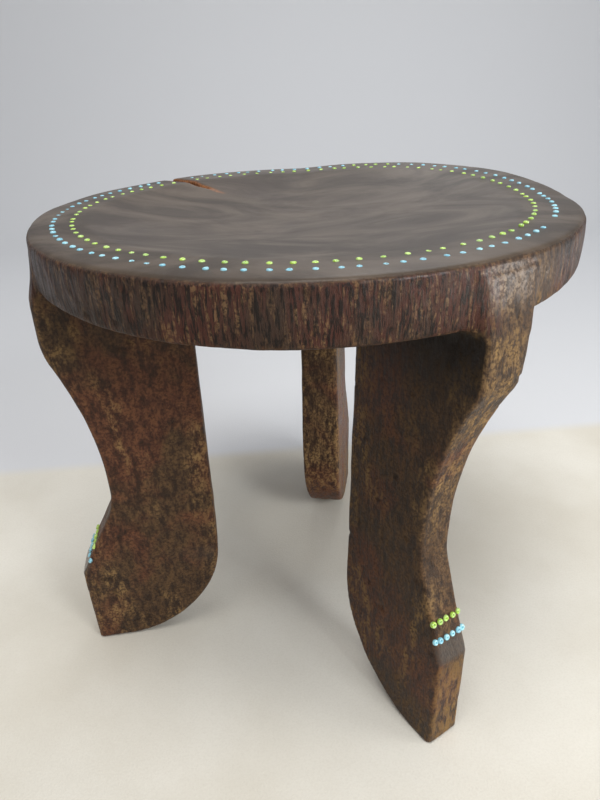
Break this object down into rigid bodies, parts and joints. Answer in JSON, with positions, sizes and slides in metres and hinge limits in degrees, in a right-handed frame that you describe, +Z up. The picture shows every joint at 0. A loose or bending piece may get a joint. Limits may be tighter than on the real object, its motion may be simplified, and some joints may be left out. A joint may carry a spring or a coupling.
{
  "type": "carved stool",
  "caption": "Round dished stool carved from one block of wood, on curved blade legs with flared feet, with glass seed beads inlaid round the seat and across the ankles.",
  "frame": {"origin": "on the seat's vertical axis, at floor level, under the middle of the seat", "axes": "+Z up along the seat's axis; +X to the right and +Y to the back as the stool stands with one leg behind and two in front"},
  "size_m": [0.2756, 0.2757, 0.2554],
  "materials": {
    "wood": "dark oiled and handled, satin, with ochre dust in the grain",
    "blue_glass": "opaque glossy glass",
    "green_glass": "opaque glossy glass"
  },
  "bodies": {
    "root": {"carved_body": "wood", "seat_outer_blue_beads": "blue_glass", "left_ankle_blue_beads": "blue_glass", "right_ankle_blue_beads": "blue_glass", "back_ankle_blue_beads": "blue_glass", "seat_outer_green_beads": "green_glass", "seat_inner_green_beads": "green_glass", "left_ankle_green_beads": "green_glass", "right_ankle_green_beads": "green_glass", "back_ankle_green_beads": "green_glass"}
  },
  "joints": []
}
